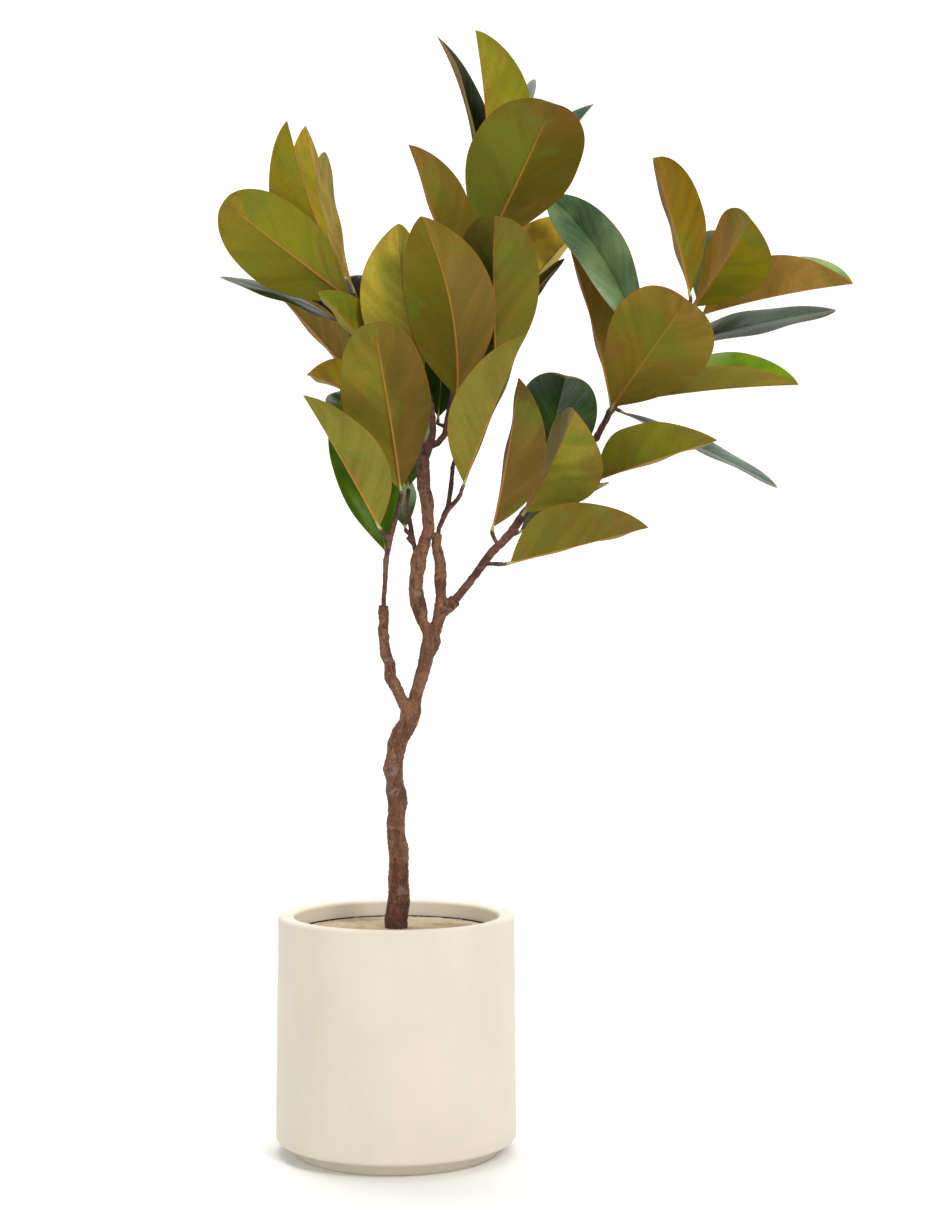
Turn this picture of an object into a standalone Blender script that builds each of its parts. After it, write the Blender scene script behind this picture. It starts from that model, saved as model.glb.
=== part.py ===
"""Potted rubber plant in a cream cylindrical planter.

Metres, +Z up, origin at the centre of the planter's flat underside.
+X is to the plant's right and +Y is away from its front.
Run with: blender --background --python part.py
"""
import math

import bmesh
import bpy
from mathutils import Vector

# ---------------------------------------------------------------- planter
POT_HEIGHT = 0.3055
POT_TOP_RADIUS = 0.1535
POT_FLARE = 0.0025
POT_WALL = 0.0209
POT_FLOOR = 0.030
POT_EDGE_ROUND = 0.005
FOOT_SET_BACK = 0.0234
FOOT_HEIGHT = 0.017
FOOT_EDGE_ROUND = 0.002
ROUND_STEPS = 3
ROUND_SIDES = 48

# ---------------------------------------------------------------- liner and fill
FIT = 0.0005
LINER_WALL = 0.0025
LINER_DRAFT = 0.006
FILL_BELOW_RIM = 0.0215
FILL_CROWN = 0.004
LINER_LIP = 0.001

# ---------------------------------------------------------------- wood
PLANT_SCALE = 1.0
TRUNK_FOOT_Z = 0.060
TRUNK_FOOT_RADIUS = 0.0149
TWIG_RADIUS = 0.0028
TWIG_SPACING = 0.0030
TWIG_BEND = 0.0080
COLLAR_DEPTH = 0.012
WOOD_FIT = 0.0006

# ---------------------------------------------------------------- leaves
LEAF_LENGTH = 0.225
LEAF_WIDTH = 0.110
LEAF_THICKNESS = 0.0013
LEAF_MARGIN = 0.0006
RIB_HEIGHT = 0.0010
PETIOLE_RADIUS = 0.0016
TIP_HALF_WIDTH = 0.0008
LEAF_GAP = 0.0009
LEAF_STATIONS = (0.0, 0.06, 0.20, 0.38, 0.56, 0.74, 0.90, 1.0)
LEAF_ACROSS = (-1.0, -0.55, 0.0, 0.55, 1.0)

# Each line of wood is a list of (x, y, height above the planter's rim, radius),
# at a PLANT_SCALE of 1.
TRUNK_LINES = {
    "stem": [
        (0.000, 0.000, -0.0055, TRUNK_FOOT_RADIUS), (0.003, 0.000, 0.0175, 0.0148),
        (0.003, 0.000, 0.0415, 0.0133), (0.003, 0.000, 0.0715, 0.0133),
        (0.003, 0.000, 0.0835, 0.0136), (-0.001, 0.000, 0.1005, 0.0117),
        (-0.001, 0.000, 0.1185, 0.0117), (0.002, 0.000, 0.1425, 0.0126),
        (-0.001, 0.000, 0.1605, 0.0136), (-0.002, 0.000, 0.1745, 0.0110),
        (-0.005, 0.000, 0.1885, 0.0134), (-0.002, 0.000, 0.2045, 0.0117),
        (0.001, 0.000, 0.2215, 0.0130), (0.007, 0.000, 0.2355, 0.0130),
        (0.015, 0.000, 0.2475, 0.0124), (0.019, 0.000, 0.2625, 0.0134),
        (0.020, 0.000, 0.2765, 0.0118),
    ],
    "left_limb": [
        (0.019, -0.001, 0.2565, 0.0080), (0.009, -0.005, 0.2755, 0.0079),
        (0.002, -0.009, 0.2915, 0.0075), (-0.008, -0.013, 0.3085, 0.0084),
        (-0.008, -0.017, 0.3245, 0.0068), (-0.013, -0.021, 0.3385, 0.0077),
        (-0.015, -0.024, 0.3535, 0.0070), (-0.016, -0.029, 0.3705, 0.0069),
        (-0.015, -0.036, 0.4005, 0.0064),
    ],
    "right_limb": [
        (0.019, 0.000, 0.2605, 0.0096), (0.027, 0.000, 0.2915, 0.0085),
        (0.034, 0.000, 0.3145, 0.0090), (0.040, -0.001, 0.3385, 0.0104),
        (0.046, 0.000, 0.3565, 0.0128), (0.045, -0.002, 0.3745, 0.0100),
    ],
    "middle_limb": [
        (0.044, -0.003, 0.3625, 0.0080), (0.034, -0.004, 0.3795, 0.0078),
        (0.031, -0.004, 0.3945, 0.0104), (0.027, -0.005, 0.4085, 0.0105),
        (0.025, -0.005, 0.4235, 0.0096), (0.027, -0.006, 0.4425, 0.0092),
        (0.028, -0.008, 0.4545, 0.0108), (0.032, -0.008, 0.4705, 0.0096),
        (0.037, -0.009, 0.4855, 0.0079), (0.042, -0.010, 0.5005, 0.0083),
        (0.041, -0.010, 0.5145, 0.0080), (0.041, -0.012, 0.5335, 0.0091),
        (0.036, -0.013, 0.5535, 0.0087), (0.035, -0.014, 0.5765, 0.0087),
        (0.035, -0.016, 0.5965, 0.0083),
    ],
    "outer_limb": [
        (0.046, 0.000, 0.3585, 0.0086), (0.055, 0.003, 0.3835, 0.0091),
        (0.058, 0.003, 0.4005, 0.0090), (0.058, 0.003, 0.4145, 0.0078),
        (0.057, 0.001, 0.4325, 0.0078), (0.057, 0.000, 0.4535, 0.0078),
        (0.055, -0.001, 0.4665, 0.0078), (0.052, -0.003, 0.4795, 0.0066),
        (0.054, -0.004, 0.4955, 0.0064),
    ],
    "right_collar": [
        (0.056, 0.003, 0.3925, 0.0090), (0.068, 0.001, 0.4005, 0.0092),
        (0.077, -0.002, 0.4085, 0.0086),
    ],
}

# Each stem starts inside the collar it was set into.
LEFT_SPRAY_LINES = [
    [(-0.0151, -0.0353, 0.3975, 0.0033), (-0.015, -0.037, 0.4085, 0.0032),
     (-0.013, -0.041, 0.4335, 0.0033), (-0.012, -0.044, 0.4605, 0.0038)],
    [(-0.012, -0.044, 0.4585, 0.0036), (-0.008, -0.047, 0.4785, 0.0035),
     (0.000, -0.052, 0.5075, 0.0032), (0.005, -0.056, 0.5275, 0.0031)],
]
FORK_LINES = [
    [(0.0539, -0.0040, 0.492, 0.0033), (0.055, -0.004, 0.5005, 0.0032),
     (0.061, -0.008, 0.5145, 0.0038), (0.066, -0.010, 0.5255, 0.0042)],
    [(0.066, -0.010, 0.5245, 0.0036), (0.079, -0.023, 0.5375, 0.0031),
     (0.084, -0.036, 0.5445, 0.0029)],
    [(0.066, -0.010, 0.5235, 0.0036), (0.071, -0.012, 0.5535, 0.0033),
     (0.073, -0.013, 0.5795, 0.0032), (0.085, -0.016, 0.6205, 0.0032),
     (0.108, -0.016, 0.6545, 0.0032), (0.124, -0.016, 0.6745, 0.0030)],
]
UPPER_LINES = [
    [(0.0350, -0.0154, 0.593, 0.0045), (0.039, -0.017, 0.6005, 0.0052),
     (0.045, -0.018, 0.6135, 0.0055), (0.048, -0.019, 0.6265, 0.0045),
     (0.047, -0.021, 0.6465, 0.0043), (0.044, -0.024, 0.6705, 0.0038)],
    [(0.042, -0.017, 0.6065, 0.0046), (0.054, -0.014, 0.6115, 0.0046),
     (0.063, -0.012, 0.6225, 0.0045), (0.067, -0.008, 0.6445, 0.0043),
     (0.072, -0.001, 0.6705, 0.0041), (0.080, 0.006, 0.7075, 0.0042),
     (0.088, 0.012, 0.7605, 0.0042), (0.101, 0.017, 0.8135, 0.0041),
     (0.114, 0.021, 0.8665, 0.0039), (0.119, 0.024, 0.8995, 0.0037)],
    [(0.041, -0.017, 0.6045, 0.0044), (0.030, -0.010, 0.6145, 0.0044),
     (0.012, 0.002, 0.6405, 0.0043), (-0.009, 0.008, 0.6885, 0.0042),
     (-0.029, 0.007, 0.7405, 0.0040), (-0.047, 0.005, 0.7715, 0.0039),
     (-0.064, 0.005, 0.7925, 0.0036)],
]
RIGHT_BRANCH_LINES = [
    [(0.0722, -0.0004, 0.4043, 0.0058), (0.080, -0.003, 0.4125, 0.0057),
     (0.096, -0.008, 0.4325, 0.0056), (0.112, -0.013, 0.4535, 0.0057),
     (0.124, -0.016, 0.4705, 0.0059), (0.136, -0.018, 0.4815, 0.0058),
     (0.148, -0.020, 0.4945, 0.0060), (0.165, -0.020, 0.5195, 0.0058),
     (0.187, -0.012, 0.5435, 0.0056), (0.212, -0.006, 0.5705, 0.0053),
     (0.238, -0.004, 0.5965, 0.0049), (0.260, -0.003, 0.6195, 0.0046),
     (0.277, 0.000, 0.6515, 0.0044), (0.306, 0.006, 0.6895, 0.0040),
     (0.333, 0.010, 0.7235, 0.0039), (0.359, 0.009, 0.7565, 0.0036),
     (0.381, 0.006, 0.7865, 0.0034)],
]
BACK_TWIG_LINES = [
    [(0.0263, 0.0030, 0.4645, 0.0034), (0.022, 0.007, 0.4825, 0.0034),
     (0.017, 0.008, 0.5105, 0.0033), (0.013, 0.008, 0.5325, 0.0031)],
    [(0.022, 0.007, 0.4805, 0.0032), (0.014, 0.010, 0.4905, 0.0030)],
]

# name, stem, base point, heading, rise, roll, length, width, fold, bow, sway, belly, tip
# Base points are given as the wood is. Angles are in degrees, and length and width
# are shares of LEAF_LENGTH and LEAF_WIDTH.
LEAVES = [
    ("crown_a", "upper", (0.120, 0.008, 0.9125), 144, 85, 66, 1.08, 1.11, 54, 0.03, 0.00, 0.50, 0.70),
    ("crown_b", "upper", (0.105, 0.041, 0.9165), 134, 73, 21, 1.16, 0.62, 28, 0.07, 0.00, 0.50, 0.85),
    ("crown_c", "upper", (0.114, -0.010, 0.8615), -62, 41, -18, 1.04, 1.33, 14, 0.05, 0.02, 0.55, 0.50),
    ("crown_d", "upper", (0.134, 0.066, 0.9185), 59, 66, -24, 0.98, 0.50, 0, 0.04, 0.00, 0.60, 0.45),
    ("crown_e", "upper", (0.130, 0.018, 0.9055), 31, 48, 16, 1.02, 0.62, 34, 0.00, 0.00, 0.50, 0.90),
    ("mid_a", "upper", (0.079, 0.005, 0.7995), 153, 71, 63, 0.98, 0.93, 38, 0.02, 0.00, 0.50, 0.80),
    ("mid_b", "fork", (0.130, -0.018, 0.6875), -92, 61, -13, 1.00, 1.06, 22, 0.04, -0.02, 0.58, 0.50),
    ("mid_c", "upper", (0.122, 0.013, 0.7615), 32, 46, -79, 0.95, 1.15, 50, 0.02, 0.00, 0.60, 0.50),
    ("mid_d", "upper", (0.134, 0.022, 0.7550), 18, 49, -35, 0.62, 0.36, 6, 0.02, 0.00, 0.50, 0.80),
    ("heart_a", "upper", (0.079, -0.044, 0.6675), -108, 56, 20, 1.11, 1.05, 12, 0.03, 0.06, 0.45, 0.80),
    ("heart_b", "upper", (0.036, -0.026, 0.6945), -106, 59, 53, 0.93, 1.04, 26, 0.02, -0.03, 0.50, 0.75),
    ("heart_c", "upper", (0.054, 0.013, 0.6465), 83, 71, 19, 1.02, 1.04, 16, 0.04, 0.00, 0.50, 0.70),
    ("heart_d", "upper", (0.020, 0.018, 0.6965), 117, 63, 161, 0.92, 0.95, 16, 0.02, 0.00, 0.50, 0.80),
    ("heart_e", "upper", (-0.028, 0.031, 0.7435), 118, 51, -34, 0.58, 0.66, 14, 0.03, 0.00, 0.50, 0.70),
    ("left_a", "upper", (-0.057, -0.010, 0.7955), -136, 26, 65, 1.03, 0.98, 12, 0.04, 0.00, 0.52, 0.55),
    ("left_b", "upper", (-0.072, -0.008, 0.8145), -117, 55, 88, 1.02, 0.95, 34, 0.02, 0.00, 0.50, 0.75),
    ("left_c", "upper", (-0.067, 0.016, 0.8185), 152, 74, 160, 1.00, 0.74, 30, 0.02, 0.00, 0.50, 0.80),
    ("left_d", "upper", (-0.057, 0.009, 0.8125), -113, 61, 94, 0.82, 0.50, 0, 0.04, 0.00, 0.75, 0.40),
    ("left_e", "upper", (-0.070, 0.001, 0.7675), -149, 15, -27, 0.80, 0.60, 0, 0.03, 0.00, 0.50, 0.75),
    ("low_a", "upper", (-0.025, -0.038, 0.7165), -125, 32, 16, 0.61, 0.58, 44, 0.03, 0.00, 0.45, 0.85),
    ("low_b", "upper", (-0.041, 0.048, 0.6785), 178, 49, 36, 0.80, 0.68, 30, 0.02, 0.00, 0.50, 0.85),
    ("low_c", "upper", (-0.047, 0.082, 0.6985), 141, 54, -57, 0.78, 0.40, 14, 0.03, 0.00, 0.50, 0.70),
    ("low_d", "upper", (-0.044, -0.016, 0.6715), -123, 9, 36, 0.52, 0.63, 49, 0.02, 0.00, 0.36, 1.10),
    ("low_e", "upper", (-0.013, 0.039, 0.6195), 150, 35, -30, 0.50, 0.70, 14, 0.03, 0.00, 0.50, 0.70),
    ("spray_a", "left_spray", (0.007, -0.060, 0.5485), -103, 57, 23, 1.04, 1.04, 12, 0.03, 0.01, 0.50, 0.50),
    ("spray_b", "left_spray", (-0.020, -0.057, 0.5015), -124, 45, -14, 0.97, 1.00, 32, 0.02, -0.02, 0.45, 0.85),
    ("spray_c", "left_spray", (-0.012, -0.040, 0.4695), 125, 64, -26, 1.01, 0.80, 14, 0.04, 0.00, 0.50, 0.60),
    ("fork_a", "fork", (0.088, -0.052, 0.5565), -60, 50, 19, 1.00, 0.98, 32, 0.02, 0.02, 0.48, 0.80),
    ("fork_b", "back", (0.015, 0.010, 0.5555), 95, 45, 0, 0.75, 0.71, 14, 0.03, 0.00, 0.50, 0.70),
    ("fork_c", "back", (0.011, 0.012, 0.5025), 102, 30, 0, 0.80, 0.50, 14, 0.03, 0.00, 0.50, 0.70),
    ("side_a", "right", (0.125, -0.034, 0.5015), -76, 55, -71, 0.97, 0.92, 32, 0.02, 0.00, 0.50, 0.80),
    ("side_b", "right", (0.187, 0.003, 0.5565), 75, 46, 19, 0.99, 0.99, 12, 0.02, 0.00, 0.55, 0.45),
    ("side_c", "right", (0.165, -0.029, 0.5205), -65, 40, -72, 0.82, 1.18, 36, 0.03, 0.00, 0.50, 0.95),
    ("side_d", "right", (0.258, -0.031, 0.5625), -43, 12, -19, 0.87, 1.02, 30, 0.02, 0.02, 0.42, 0.85),
    ("side_e", "right", (0.147, -0.044, 0.4555), -38, 11, -27, 0.95, 1.06, 35, 0.02, 0.03, 0.42, 0.80),
    ("side_f", "right", (0.160, -0.016, 0.4965), 38, 24, 0, 0.75, 0.59, 25, 0.00, 0.00, 0.50, 0.80),
    ("tier_a", "right", (0.318, -0.003, 0.7345), 154, 58, -67, 1.10, 0.72, 32, 0.03, -0.07, 0.60, 0.65),
    ("tier_b", "right", (0.280, 0.018, 0.6665), 139, 72, 72, 1.00, 0.75, 34, 0.02, 0.00, 0.50, 0.80),
    ("tier_c", "right", (0.278, -0.026, 0.6565), -66, 30, -42, 1.00, 1.21, 8, 0.05, 0.00, 0.56, 0.48),
    ("tier_d", "right", (0.290, -0.008, 0.6645), -25, 3, 17, 1.06, 1.06, 42, 0.02, 0.00, 0.50, 0.80),
    ("tier_e", "right", (0.294, 0.016, 0.6545), 13, -24, 26, 1.05, 0.64, 8, 0.01, 0.00, 0.60, 0.55),
    ("tip_a", "right", (0.382, 0.005, 0.8065), 137, 72, 77, 0.87, 0.79, 35, 0.02, 0.00, 0.55, 0.45),
    ("tip_b", "right", (0.385, -0.021, 0.7865), -73, 25, -61, 0.86, 0.98, 26, 0.02, 0.00, 0.60, 0.85),
    ("tip_c", "right", (0.397, -0.005, 0.7795), -38, 5, 5, 0.97, 1.13, 50, 0.02, 0.00, 0.50, 0.85),
    ("tip_d", "right", (0.354, 0.013, 0.7365), 16, 14, 23, 1.10, 0.80, 6, 0.02, 0.00, 0.50, 0.70),
    ("tip_e", "right", (0.393, 0.023, 0.8015), 68, 35, 32, 0.87, 0.71, 14, 0.03, 0.00, 0.50, 0.70),
]


# ---------------------------------------------------------------- scene helpers
def clear_scene():
    for item in list(bpy.data.objects):
        bpy.data.objects.remove(item, do_unlink=True)


def make_collection(name):
    group = bpy.data.collections.new(name)
    bpy.context.scene.collection.children.link(group)
    return group


def make_material(name, colour, roughness):
    material = bpy.data.materials.new(name)
    material.use_nodes = True
    shader = material.node_tree.nodes["Principled BSDF"]
    shader.inputs["Base Color"].default_value = (*colour, 1.0)
    shader.inputs["Roughness"].default_value = roughness
    material.diffuse_color = (*colour, 1.0)
    return material


def add_object(name, mesh, group, material):
    item = bpy.data.objects.new(name, mesh)
    group.objects.link(item)
    mesh.materials.clear()
    mesh.materials.append(material)
    return item


def shade_smooth(mesh, sharp_angle):
    for face in mesh.polygons:
        face.use_smooth = True
    mesh.set_sharp_from_angle(angle=math.radians(sharp_angle))


def tidy_mesh(mesh):
    work = bmesh.new()
    work.from_mesh(mesh)
    bmesh.ops.remove_doubles(work, verts=work.verts, dist=0.00002)
    bmesh.ops.recalc_face_normals(work, faces=work.faces)
    work.to_mesh(mesh)
    work.free()


# ---------------------------------------------------------------- solids of revolution
def arc(centre, radius, start, end, steps):
    """Points of a circular arc in the (radius, height) plane, angles in degrees."""
    points = []
    for step in range(steps + 1):
        angle = math.radians(start + (end - start) * step / steps)
        across = centre[0] + radius * math.cos(angle)
        up = centre[1] + radius * math.sin(angle)
        points.append((across, up))
    return points


def revolve(name, profile, sides, group, material):
    """Turn an open profile, given top to bottom down the outside, about Z."""
    mesh = bpy.data.meshes.new(name + "_profile")
    points = [(across, 0.0, up) for across, up in profile]
    edges = [(index, index + 1) for index in range(len(points) - 1)]
    mesh.from_pydata(points, edges, [])
    item = add_object(name, mesh, group, material)
    screw = item.modifiers.new("turn", "SCREW")
    screw.axis = "Z"
    screw.angle = math.tau
    screw.steps = sides
    screw.render_steps = sides
    screw.use_merge_vertices = True
    screw.merge_threshold = 0.00001
    return bake(item)


def bake(item):
    """Replace an object's mesh with its modified mesh."""
    graph = bpy.context.evaluated_depsgraph_get()
    mesh = bpy.data.meshes.new_from_object(item.evaluated_get(graph))
    item.modifiers.clear()
    item.data = mesh
    mesh.name = item.name
    tidy_mesh(mesh)
    return item


def cut(item, tool, operation):
    """Boolean an object with a tool object."""
    change = item.modifiers.new("cut", "BOOLEAN")
    change.solver = "EXACT"
    change.operation = operation
    change.object = tool
    return bake(item)


# ---------------------------------------------------------------- bevelled wood
def grown(size):
    """A size of the plant at its scale."""
    return size * PLANT_SCALE


def planted(point):
    """Place of a point of the plant, which stands on the plane of the rim."""
    return Vector((grown(point[0]), grown(point[1]), POT_HEIGHT + grown(point[2])))


def planted_lines(lines):
    """Stem lines in place, as lists of (x, y, z, radius)."""
    return [[(*planted(point), grown(point[3])) for point in line] for line in lines]


def rod(name, line, resolution, group, material):
    """A closed round rod through (x, y, z, radius) points."""
    curve = bpy.data.curves.new(name, "CURVE")
    curve.dimensions = "3D"
    curve.bevel_depth = 1.0
    curve.bevel_resolution = resolution
    curve.render_resolution_u = 0
    curve.use_fill_caps = True
    spline = curve.splines.new("POLY")
    spline.points.add(len(line) - 1)
    for point, place in zip(spline.points, line):
        point.co = (place[0], place[1], place[2], 1.0)
        point.radius = place[3]
    source = bpy.data.objects.new(name, curve)
    group.objects.link(source)
    graph = bpy.context.evaluated_depsgraph_get()
    mesh = bpy.data.meshes.new_from_object(source.evaluated_get(graph))
    bpy.data.objects.remove(source)
    tidy_mesh(mesh)
    return add_object(name, mesh, group, material)


def join_rods(name, lines, resolution, groups, material):
    """Grow one solid from several rods that start inside one another."""
    wood = rod(name, lines[0], resolution, groups["parts"], material)
    for number, line in enumerate(lines[1:]):
        label = f"{name}_tool_{number}"
        tool = rod(label, line, resolution, groups["cutters"], material)
        cut(wood, tool, "UNION")
    return wood


# ---------------------------------------------------------------- leaf geometry
def leaf_axes(heading, rise, roll):
    """Unit vectors along, across and above a leaf."""
    turn = math.radians(heading)
    lift = math.radians(rise)
    spin = math.radians(roll)
    flat = Vector((math.cos(turn), math.sin(turn), 0.0))
    along = flat * math.cos(lift) + Vector((0, 0, math.sin(lift)))
    upward = -flat * math.sin(lift) + Vector((0, 0, math.cos(lift)))
    sideways = upward.cross(along)
    across = sideways * math.cos(spin) + upward * math.sin(spin)
    above = upward * math.cos(spin) - sideways * math.sin(spin)
    return along, across, above


def leaf_half_width(share, belly, tip):
    """Half width of a blade of full width 2 at a share of its length."""
    if share < belly:
        return (1.0 - ((belly - share) / belly) ** 2) ** 1.05
    outer = min(1.0, (share - belly) / (1.0 - belly))
    return (1.0 - outer ** 2.2) ** tip


def leaf_ring(leaf, share):
    """Closed ring of points round a leaf at a share of its length."""
    _, _, base, heading, rise, roll, long, wide, fold, bow, sway, belly, tip = leaf
    along, across, above = leaf_axes(heading, rise, roll)
    length = grown(LEAF_LENGTH) * long
    hump = 4.0 * share * (1.0 - share)
    middle = planted(base) + along * (length * share)
    middle = middle + above * (length * bow * hump) + across * (length * sway * hump)
    narrow = PETIOLE_RADIUS + (TIP_HALF_WIDTH - PETIOLE_RADIUS) * share
    half = 0.5 * grown(LEAF_WIDTH) * wide * leaf_half_width(share, belly, tip)
    half = max(half, narrow)
    lean = math.radians(fold)
    rib = RIB_HEIGHT * (1.0 - share) ** 0.5
    upper = []
    lower = []
    for side in LEAF_ACROSS:
        reach = side * half
        surface = middle + across * (reach * math.cos(lean))
        surface = surface + above * (abs(reach) * math.sin(lean))
        sign = (side > 0) - (side < 0)
        normal = above * math.cos(lean * abs(sign)) - across * (sign * math.sin(lean))
        thick = LEAF_THICKNESS + (LEAF_MARGIN - LEAF_THICKNESS) * abs(side)
        extra = rib if side == 0.0 else 0.0
        upper.append(surface + normal * (thick * 0.5))
        lower.append(surface - normal * (thick * 0.5 + extra))
    return upper + lower[::-1]


def make_leaf(leaf, group, material):
    """Loft one leaf as a closed solid."""
    work = bmesh.new()
    rings = []
    for share in LEAF_STATIONS:
        ring = [work.verts.new(point) for point in leaf_ring(leaf, share)]
        rings.append(ring)
    count = len(rings[0])
    for near, far in zip(rings[:-1], rings[1:]):
        for index in range(count):
            after = (index + 1) % count
            work.faces.new((near[index], near[after], far[after], far[index]))
    half = count // 2
    for ring in (rings[0], rings[-1]):
        for index in range(half - 1):
            mirror = count - 1 - index
            work.faces.new((ring[index], ring[index + 1], ring[mirror - 1], ring[mirror]))
    bmesh.ops.recalc_face_normals(work, faces=work.faces)
    mesh = bpy.data.meshes.new("leaf_" + leaf[0])
    work.to_mesh(mesh)
    work.free()
    shade_smooth(mesh, 60)
    return add_object("leaf_" + leaf[0], mesh, group, material)


def leaf_start(leaf):
    """Base point of a leaf and the direction in which it leaves its twig."""
    along, across, above = leaf_axes(leaf[3], leaf[4], leaf[5])
    heading = along + above * (4.0 * leaf[9]) + across * (4.0 * leaf[10])
    return planted(leaf[2]), heading.normalized()


# ---------------------------------------------------------------- twigs
def nearest_on_lines(lines, point, step_back):
    """Centre-line point of a stem nearest a point, stepped back down the stem."""
    best = None
    for line in lines:
        for start, end in zip(line[:-1], line[1:]):
            here = Vector(start[:3])
            span = Vector(end[:3]) - here
            share = (point - here).dot(span) / span.length_squared
            share = max(0.02, min(0.98, share))
            place = here + span * share
            gap = (place - point).length
            if best is None or gap < best[0]:
                radius = start[3] + (end[3] - start[3]) * share
                best = (gap, place - span.normalized() * step_back, radius)
    return best[1], best[2]


def twig_line(lines, leaf, number):
    """Short twig from a stem to just short of a leaf's base."""
    base, heading = leaf_start(leaf)
    bend = grown(TWIG_BEND)
    thickness = grown(TWIG_RADIUS)
    end = base - heading * LEAF_GAP
    turn = base - heading * bend
    step_back = grown(TWIG_SPACING) * (number % 5)
    root, radius = nearest_on_lines(lines, base - heading * bend * 2.0, step_back)
    line = [(*root, min(radius * 0.85, thickness * 1.1))]
    if (turn - root).length > bend * 2.5:
        mid = (root + turn) * 0.5
        line.append((*mid, thickness))
    line.append((*turn, thickness))
    line.append((*end, thickness * 0.9))
    return line


def stem_with_twigs(name, lines, stem, groups, material):
    """A stem and the twigs of every leaf that it carries."""
    lines = planted_lines(lines)
    own = [leaf for leaf in LEAVES if leaf[1] == stem]
    twigs = [twig_line(lines, leaf, number) for number, leaf in enumerate(own)]
    wood = join_rods(name, lines + twigs, 2, groups, material)
    shade_smooth(wood.data, 50)
    return wood


# ---------------------------------------------------------------- pieces
def pot_radii():
    """Radii of the planter's bore, of its outside near the floor and of its foot."""
    bore = POT_TOP_RADIUS - POT_WALL
    low = POT_TOP_RADIUS + POT_FLARE
    return bore, low, low - FOOT_SET_BACK


def make_planter(groups, material):
    """Cream planter with a rounded rim and a set-back foot."""
    edge = POT_EDGE_ROUND
    small = FOOT_EDGE_ROUND
    bore, low_radius, foot = pot_radii()
    rim = (POT_TOP_RADIUS + bore) * 0.5
    crown = POT_TOP_RADIUS - edge
    inner = bore + edge
    profile = [(0.0, POT_FLOOR), (bore, POT_FLOOR)]
    profile += arc((inner, POT_HEIGHT - edge), edge, 180, 90, ROUND_STEPS)
    profile += [(rim, POT_HEIGHT)]
    profile += arc((crown, POT_HEIGHT - edge), edge, 90, 0, ROUND_STEPS)
    low = (low_radius - edge, FOOT_HEIGHT + edge)
    profile += arc(low, edge, 0, -90, ROUND_STEPS)
    profile += [(foot, FOOT_HEIGHT)]
    profile += arc((foot - small, small), small, 0, -90, 2)
    profile += [(0.0, 0.0)]
    pot = revolve("planter", profile, ROUND_SIDES, groups["parts"], material)
    shade_smooth(pot.data, 40)
    return pot


def liner_sizes():
    """Outer radii and heights of the liner inside the planter's bore."""
    top_radius = pot_radii()[0] - FIT
    low_radius = top_radius - LINER_DRAFT
    top = POT_HEIGHT - FILL_BELOW_RIM + LINER_LIP
    low = POT_FLOOR + FIT
    return top_radius, low_radius, top, low


def make_liner(groups, material):
    """Black nursery pot that holds the fill."""
    top_radius, low_radius, top, low = liner_sizes()
    profile = [
        (0.0, low + LINER_WALL), (low_radius - LINER_WALL, low + LINER_WALL),
        (top_radius - LINER_WALL, top), (top_radius, top),
        (low_radius, low), (0.0, low),
    ]
    liner = revolve("liner", profile, ROUND_SIDES, groups["parts"], material)
    shade_smooth(liner.data, 40)
    return liner


def make_fill(groups, material):
    """Slightly domed fill with a close hole for the trunk."""
    top_radius, low_radius, top, low = liner_sizes()
    wall = LINER_WALL + FIT
    level = top - LINER_LIP
    floor = low + wall
    profile = [
        (0.0, level + FILL_CROWN), (0.4 * top_radius, level + 0.85 * FILL_CROWN),
        (0.75 * top_radius, level + 0.45 * FILL_CROWN), (top_radius - wall, level),
        (low_radius - wall, floor), (0.0, floor),
    ]
    fill = revolve("fill", profile, ROUND_SIDES, groups["parts"], material)
    hole = grown(TRUNK_FOOT_RADIUS) + FIT * 1.6
    centre = (0.0, 0.0)
    line = [(*centre, TRUNK_FOOT_Z - FIT, hole), (*centre, POT_HEIGHT, hole)]
    tool = rod("fill_hole", line, 6, groups["cutters"], material)
    cut(fill, tool, "DIFFERENCE")
    shade_smooth(fill.data, 40)
    return fill


def socket_line(lines):
    """Hole for the first length of a stem, a clearance larger all round."""
    first, second = planted_lines(lines)[0][:2]
    start = Vector(first[:3])
    heading = (Vector(second[:3]) - start).normalized()
    low = start - heading * WOOD_FIT
    high = start + heading * grown(COLLAR_DEPTH * 2.0)
    wide = max(first[3], second[3]) + WOOD_FIT
    return [(*low, wide), (*high, wide)]


def make_trunk(groups, material):
    """Trunk and limbs as one piece of wood, with sockets for the set-in stems."""
    lines = planted_lines(TRUNK_LINES.values())
    lines[0].insert(0, (0.0, 0.0, TRUNK_FOOT_Z, grown(TRUNK_FOOT_RADIUS)))
    trunk = join_rods("trunk", lines, 4, groups, material)
    stems = (LEFT_SPRAY_LINES, FORK_LINES, UPPER_LINES, RIGHT_BRANCH_LINES, BACK_TWIG_LINES)
    for number, stem in enumerate(stems):
        line = socket_line(stem)
        tool = rod(f"socket_{number}", line, 8, groups["cutters"], material)
        cut(trunk, tool, "DIFFERENCE")
    shade_smooth(trunk.data, 50)
    return trunk


def hide_cutters(group):
    for item in group.objects:
        item.hide_render = True
        item.display_type = "WIRE"


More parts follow.
